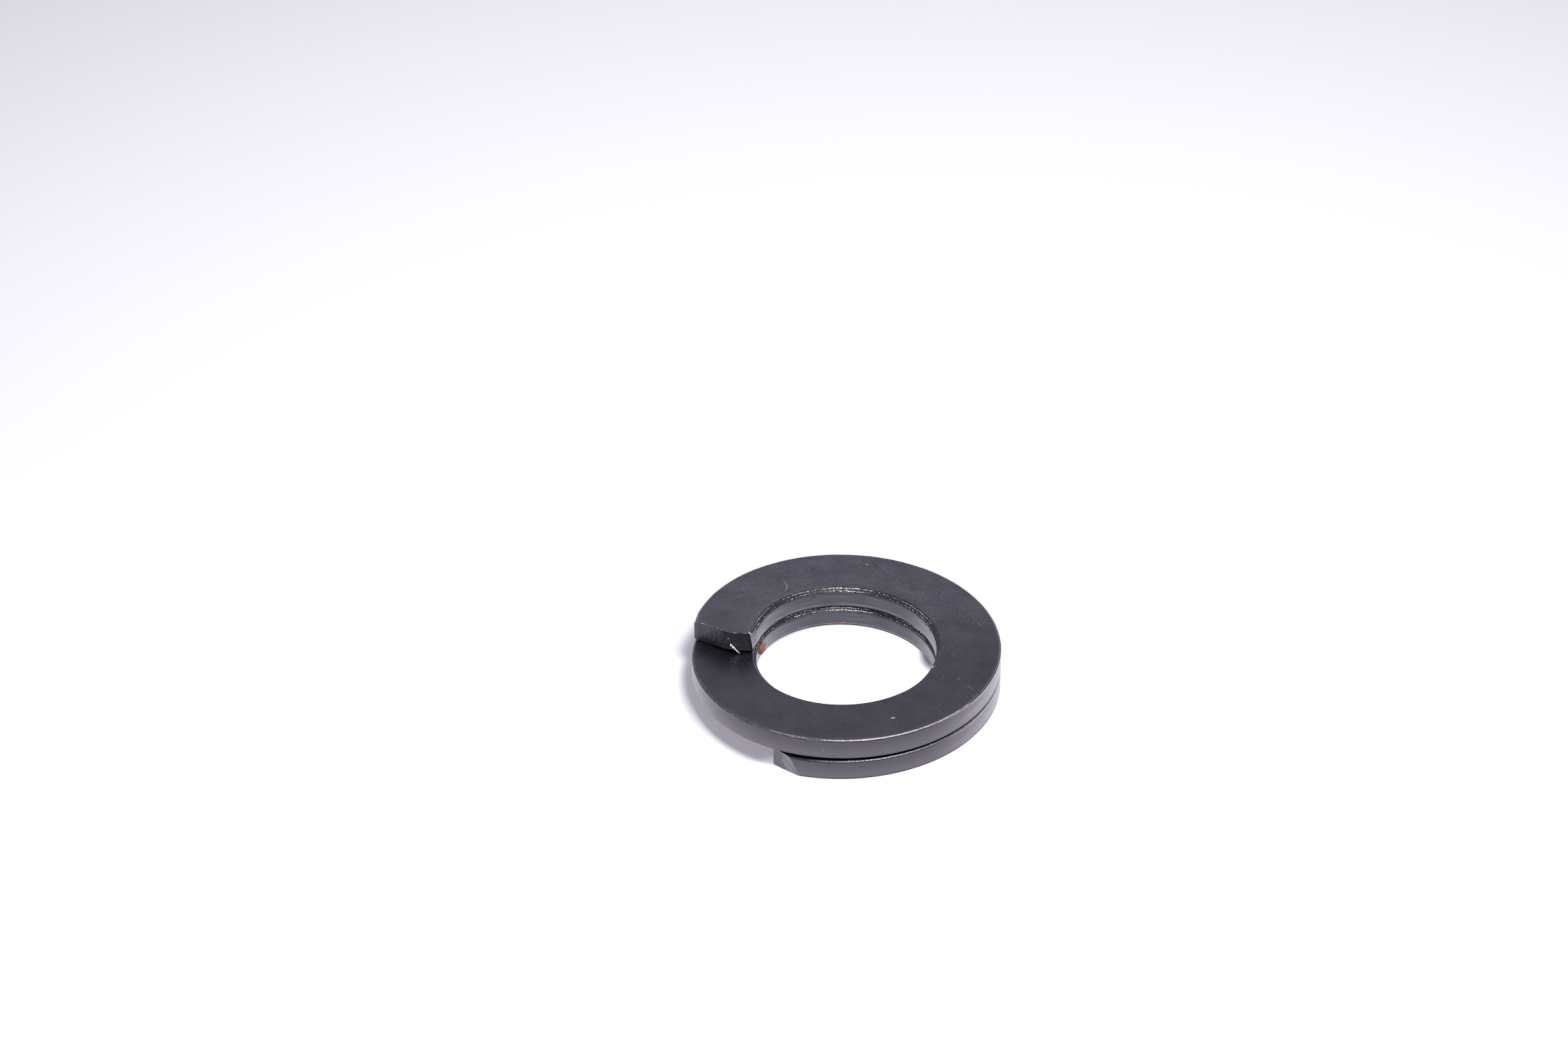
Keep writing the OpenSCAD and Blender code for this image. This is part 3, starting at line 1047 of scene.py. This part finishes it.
# Fibres and short dashes on the upper face: their points, then radii and shades along them
FIBRES = (
    (
        ((55.4, 10.02), (56.2, 9.61), (55.6, 8.85), (53.5, 8.46), (51.0, 8.22)),
        (0.008, 0.014, 0.015, 0.01),
        (0.2, 0.45, 0.9, 0.8, 0.3),
    ),
    (((53.1, 11.35), (52.3, 10.74), (54.9, 10.89), (56.2, 10.64)), (0.008, 0.01, 0.006), 0.1),
    (
        ((206.4, 7.58, 0.01), (207.8, 7.8, 0.03), (209.2, 8.12, 0.01), (210.4, 8.52)),
        (0.01, 0.01, 0.005),
        0.1,
    ),
    (((200.9, 7.62), (201.9, 7.42, -0.02), (203.2, 7.3, -0.08)), (0.03, 0.045, 0.02), (0.3, 0.6, 0.4)),
    (
        ((337.6, 12.2), (336.6, 12.22, 0.02), (335.6, 12.18, 0.01), (334.1, 12.14)),
        (0.008, 0.016, 0.008),
        0.4,
    ),
    (((248.9, 10.22), (247.1, 10.23)), (0.034, 0.042), 1.0),
    (((208.9, 11.18), (210.0, 11.66)), (0.02, 0.024), 0.35),
    (((206.5, 9.99), (204.8, 9.97)), (0.016, 0.018), 0.45),
    (((186.7, 9.32), (187.0, 9.59)), (0.01, 0.012), 0.3),
    (((187.5, 8.53), (187.9, 8.75)), (0.012, 0.014), 0.5),
    (((192.2, 10.07), (194.5, 10.27)), (0.008, 0.01), 0.2),
    (((97.3, 11.09), (98.2, 10.92)), (0.018, 0.024), 0.7),
    (((94.5, 10.54), (95.8, 10.48)), (0.012, 0.014), 0.4),
)
# A tuft by the fibre at the edge of the hole: arc, radius, size, shade
TUFT = (
    (202.4, 7.5, 0.06, 0.6), (201.2, 7.68, 0.045, 0.4), (203.6, 7.48, 0.035, 0.3), (202.4, 7.8, 0.03, 0.5),
)


def fibres():
    """Hair-thin pale fibres and short dashes on the upper face."""
    heap = Heap()
    for stops, radii, shade in FIBRES:
        heap.thread(on_top(stops), radii, shade)
    for arc, r, size, shade in TUFT:
        shape = (size, 0.7 * size, 0.5 * size)
        heap.grain(arc, r, 0, "top", shape, 0.45, int(1000 * size), 40, shade)
    heap.piece("fibres", loose_stuff("pale_fibre", (0.15, 0.147, 0.125), (0.85, 0.84, 0.76), 0.6))


def blue_fibre():
    """A short blue fibre on the upper face."""
    heap = Heap()
    stops = ((37.3, 11.0), (36.6, 10.72), (36.0, 10.43))
    heap.thread(on_top(stops), (0.018, 0.034, 0.022), (0.35, 0.9, 0.6))
    heap.piece("blue_fibre", loose_stuff("blue_fibre", (0.03, 0.045, 0.13), (0.2, 0.28, 0.6), 0.6))


# Fine scratches on the upper face: arc and radius of their points
SCRATCHES = (
    ((98.4, 11.88), (100.4, 11.3), (102.7, 10.69)),
    ((103.3, 10.81), (106.4, 10.32), (109.9, 9.92)),
    ((99.4, 11.6), (102.3, 11.0), (104.6, 10.6)),
    ((71.5, 10.1), (73.0, 10.5), (75.5, 10.62)),
)
# The hairline crack in the wall of the hole: arc and height of its points
CRACK = ((101.9, 4.5), (101.1, 4.42), (99.9, 4.17), (100.8, 3.93), (99.5, 3.64), (98.6, 3.34))
# Black specks in the dents of that wall: arc, height, size
BLACK_SPECKS = (
    (66.5, 4.46, 0.06), (68.2, 4.4, 0.07), (151.0, 4.0, 0.06), (487.0, 2.35, 0.05), (459.0, 2.2, 0.05),
)


def scratches():
    """Fine dark scratches across the back of the upper face, the crack and the black specks."""
    heap = Heap()
    for stops in SCRATCHES:
        heap.thread(on_top(stops, lift=0.0), (0.003, 0.008, 0.007, 0.003), (0.2, 0.6, 0.3))
    crack = [place(arc, BORE_R, z - middle_z(arc)) for arc, z in CRACK]
    heap.thread(crack, (0.004, 0.01, 0.006, 0.009, 0.003), (0.0, 0.2))
    for arc, z, size in BLACK_SPECKS:
        heap.grain(arc, BORE_R, z, "bore", (size, 0.8 * size, 0.3 * size), 0.4, 81, 20, 0.1)
    heap.piece("scratches", loose_stuff("dark_scratch", (0.008, 0.007, 0.008), (0.05, 0.047, 0.05), 0.7))


def dust():
    """Specks on the upper face, thicker by the step and in a cluster near the rim, and on the rim."""
    heap = Heap()
    random = np.random.default_rng(61)
    spots = [(random.uniform(2, 538), random.uniform(BORE_R + 0.5, RIM_R - 0.3), 1.0) for _ in range(210)]
    spots += [(random.normal(163.4, 1.6), random.normal(11.28, 0.22), 1.25) for _ in range(22)]
    spots += [(random.normal(351, 5), random.uniform(7.7, 9.6), 1.0) for _ in range(26)]
    spots += [(random.uniform(188, 216), random.uniform(9.5, 11.9), 1.15) for _ in range(14)]
    for seed, (arc, r, big) in enumerate(spots):
        if 357 < arc < 367 or arc > 360 and r < 12.0 and arc < 540:
            continue
        size = 0.016 * big * random.lognormal(0, 0.4)
        shape = (size * random.uniform(1, 1.8), size, 0.5 * size)
        turn, shade = random.uniform(0, 180), random.uniform(0, 1)
        heap.grain(arc, r, 0, "top", shape, 0.3, seed + 100, turn, shade, rings=1)
    for arc, z, size in ((277.2, 2.95, 0.045), (269.0, 2.32, 0.03), (292.0, 3.3, 0.025), (240.0, 3.1, 0.02)):
        heap.grain(arc, RIM_R - 0.01, z, "rim", (size, size, 0.4 * size), 0.3, 17, 0, 0.9, rings=1)
    heap.piece("dust", loose_stuff("pale_dust", (0.09, 0.095, 0.09), (0.5, 0.51, 0.47), 0.7))


# Bright grains along the burr: radius, size, shade
BURR_GRAINS = (
    (10.45, 0.03, 1.0), (10.02, 0.025, 0.9), (8.95, 0.03, 1.0), (9.6, 0.018, 0.7), (11.3, 0.016, 0.6),
)
# The sliver below it: arc, radius and height above the foot of the wire. Its lumps have a size too
NECK = ((0.3, 9.42, 1.2), (-0.5, 9.34, 0.98), (-0.8, 9.22, 0.74))
CURL = (
    (-0.5, 9.3, 0.88), (-1.0, 9.15, 0.6), (-1.3, 9.02, 0.5), (-1.5, 8.86, 0.36), (-1.9, 8.7, 0.2),
    (-2.0, 8.54, 0.09),
)
SLIVER_LUMPS = (
    (-0.9, 9.26, 0.76, 0.11), (-1.1, 9.08, 0.54, 0.12), (-1.5, 8.92, 0.38, 0.06),
    (-1.7, 8.76, 0.26, 0.08), (0.2, 9.5, 1.3, 0.03),
)


def burr_line(heap):
    """The thin burr along the top of the upper end, and its chip at the hole."""
    r = np.linspace(RIM_R - 0.22, BORE_R + 0.5, 34)
    arc = arc_at(0, r) + 0.1
    sag = np.interp(r, (BORE_R, 8.4, 9.6, 10.6, 11.8, RIM_R), (0.04, 0.03, 0.035, 0.03, 0.02, 0.1))
    path = place(arc, r, HALF - sag + 0.008 * wander(r, 0.12, 71))
    radii = np.interp(r, (BORE_R, 10.0, RIM_R), (0.012, 0.018, 0.026)) * (1 + 0.5 * wander(r, 0.21, 72))
    heap.thread(path, radii, 0.42 + 0.4 * wander(r, 0.15, 76))
    for spot_r, size, shade in BURR_GRAINS:
        spot_arc = float(arc_at(0, spot_r)) + 0.05
        heap.grain(spot_arc, spot_r, 0, "top", (size, size, size), 0.3, 73, 0, shade, sink=0.9)
    heap.grain(0.5, BORE_R + 0.56, 0, "top", (0.08, 0.11, 0.05), 0.4, 74, 15, 0.85, sink=0.75)
    heap.grain(0.2, BORE_R + 0.46, 0, "top", (0.06, 0.08, 0.09), 0.4, 75, -20, 0.5, sink=0.9)


def sliver(heap):
    """The curled sliver that hangs below the burr."""
    foot = HALF - PITCH
    for stops, radii, shades, sides in (
        (NECK, (0.008, 0.022, 0.03), (0.1, 0.4), 6),
        (CURL, (0.03, 0.085, 0.055, 0.07, 0.06, 0.015), (0.7, 1.0, 0.5, 1.0), 7),
    ):
        heap.thread([place(arc, r, foot + up) for arc, r, up in stops], radii, shades, sides)
    for arc, r, up, size in SLIVER_LUMPS:
        points, faces = lump((size, 0.8 * size, size), 0.6, int(100 * up))
        heap.put(place(arc, r, foot + up) + points, faces, 0.85)


def burr():
    heap = Heap()
    burr_line(heap)
    sliver(heap)
    material = loose_stuff("bare_sliver", (0.09, 0.08, 0.06), (0.8, 0.79, 0.76), 0.4, 0.85, 6.0)
    piece = heap.piece("burr", material)


for make in (crumb, flakes, fibres, blue_fibre, scratches, dust, burr):
    make()

# Floor, light and camera
TINT = (0.985, 0.945, 1.09)
FLOOR_GLOW = 0.28
FLOOR_SHINE = 0.7
SKY_LIGHT = 0.16
SKY_SHINE = 0.9

# The washer rests on its lower end and on the back of its lower turn. Its axis is upright here,
# so the floor that it rests on is tilted: this high at the axis, and rising towards this azimuth
FLOOR_AT_AXIS = 0.427
FLOOR_TILT = 3.531
FLOOR_UPHILL = 80.57
# Towards the key light the floor's glow to the camera is painted up to full, hiding the washer's shade
# there: azimuth, and the reach over which that grows
BRIGHT_SIDE = -75.0
BRIGHT_FROM, BRIGHT_TO = 6.6, 9.2
# Behind the washer the floor's colour and glow are painted dimmer: from this place, between these distances.
# The Y over which this sets in, and the floor's colour near by and far off
DIM_CENTRE, DIM_FROM, DIM_TO = (2.0, 0.0), 45.0, 200.0
DIM_SOFT = 40.0
NEAR_FLOOR, FAR_FLOOR = (0.88, 0.88, 0.885), (0.695, 0.695, 0.725)
# In the hole the floor's glow is painted up to full as well, hiding the shade there, except round this spot
# by the wall: place, glow, and reaches
SHADED_SPOT, SHADED_GLOW = (7.3, 3.3), 0.09
SHADED_FROM, SHADED_TO = 0.7, 2.2

bpy.ops.mesh.primitive_circle_add(vertices=96, radius=2.0, fill_type="NGON")
floor = bpy.context.object
floor.name = "floor"
floor.matrix_world = (
    Matrix.Translation((0, 0, FLOOR_AT_AXIS * MM))
    @ Matrix.Rotation(math.radians(FLOOR_UPHILL), 4, "Z")
    @ Matrix.Rotation(-math.radians(FLOOR_TILT), 4, "Y")
    @ Matrix.Rotation(-math.radians(FLOOR_UPHILL), 4, "Z")
)


def pale_floor():
    """Lit like white card. It shows itself a little brighter to the camera, and more so to steel, with glow
    and dimming painted on by place.
    """
    g = Graph(bpy.data.materials.new("pale_floor"))
    at = g.place()
    path = g.node("LightPath").outputs
    mirrored = g.math("MAXIMUM", path["Is Glossy Ray"], path["Is Transmission Ray"])
    side = math.radians(BRIGHT_SIDE)
    reach = g.measure("DOT_PRODUCT", at, (math.cos(side), math.sin(side), 0))
    # Painted dimming of the floor's colour and glow far behind the washer
    far = g.ramp(g.measure("DISTANCE", at, (*DIM_CENTRE, 0)), DIM_FROM, DIM_TO)
    dim = g.times(far, g.ramp(g.node_axis(at, 1), 0.0, DIM_SOFT))
    behind = g.times(g.unless(dim), FLOOR_GLOW)
    # Painted glow, up to full towards the key light, which hides the washer's shade on that side
    outside = g.ramp(reach, BRIGHT_FROM, BRIGHT_TO, behind, 1.0)
    # Painted glow in the hole, up to full but for the spot by the wall, which hides the shade under the
    # washer
    from_spot = g.measure("DISTANCE", at, (*SHADED_SPOT, 0))
    inside = g.ramp(from_spot, SHADED_FROM, SHADED_TO, SHADED_GLOW, 1.0)
    hidden = g.ramp(g.measure("LENGTH", at), BORE_R + 0.5, BORE_R + 1.2)
    seen = g.add(g.times(outside, hidden), g.times(inside, g.unless(hidden)))
    glow = g.add(g.times(path["Is Camera Ray"], seen), g.times(mirrored, FLOOR_SHINE))
    g.shade(Base_Color=g.mix(dim, NEAR_FLOOR, FAR_FLOOR), Roughness=0.9, Specular_IOR_Level=0.1)
    g.shade(Emission_Color=TINT, Emission_Strength=glow)
    return g.owner


def studio():
    """A plain pale world. It is white to the camera, a little less so in steel, and lights softly."""
    g = Graph(bpy.data.worlds.new("studio"), "Background")
    path = g.node("LightPath").outputs
    total = SKY_LIGHT
    for ray, level in (("Glossy", SKY_SHINE), ("Transmission", SKY_SHINE), ("Camera", 1.0)):
        total = g.math("MULTIPLY_ADD", path[f"Is {ray} Ray"], level - SKY_LIGHT, total)
    g.shade(Color=TINT, Strength=total)
    return g.owner


floor.data.materials.append(pale_floor())
bpy.context.scene.world = studio()


def softbox(name, azimuth, elevation, distance, size, irradiance):
    """A square soft light that faces the washer and lights the floor there by irradiance / pi."""
    a, e = math.radians(azimuth), math.radians(elevation)
    towards = Vector((math.cos(a) * math.cos(e), math.sin(a) * math.cos(e), math.sin(e)))
    lamp = bpy.data.lights.new(name, "AREA")
    lamp.shape = "SQUARE"
    lamp.size = size
    # An area light of power P sends P / (pi area) per steradian along its axis
    lamp.energy = irradiance * math.pi * math.pi * distance**2 / math.sin(e)
    lit = bpy.data.objects.new(name, lamp)
    lit.location = towards * distance
    lit.rotation_euler = towards.to_track_quat("Z", "Y").to_euler()
    bpy.context.scene.collection.objects.link(lit)


softbox("key", azimuth=-59, elevation=60, distance=1.4, size=0.36, irradiance=0.78)

LENS_PIXELS = 6000
IMAGE_WIDTH = 2352
CAMERA_AT = Vector((-4.974, -263.66, 188.521)) * MM
CAMERA_ELEVATION = math.radians(33.175)
CAMERA_ROLL = math.radians(-0.213)
lens = bpy.data.cameras.new("camera")
lens.sensor_width = 36
lens.lens = lens.sensor_width * LENS_PIXELS / IMAGE_WIDTH
lens.clip_start, lens.clip_end = 0.01, 10
camera = bpy.data.objects.new("camera", lens)
bpy.context.scene.collection.objects.link(camera)
camera.matrix_world = (
    Matrix.Translation(CAMERA_AT)
    @ Matrix.Rotation(math.pi / 2 - CAMERA_ELEVATION, 4, "X")
    @ Matrix.Rotation(CAMERA_ROLL, 4, "Z")
)
bpy.context.scene.camera = camera
bpy.context.scene.view_settings.view_transform = "Standard"
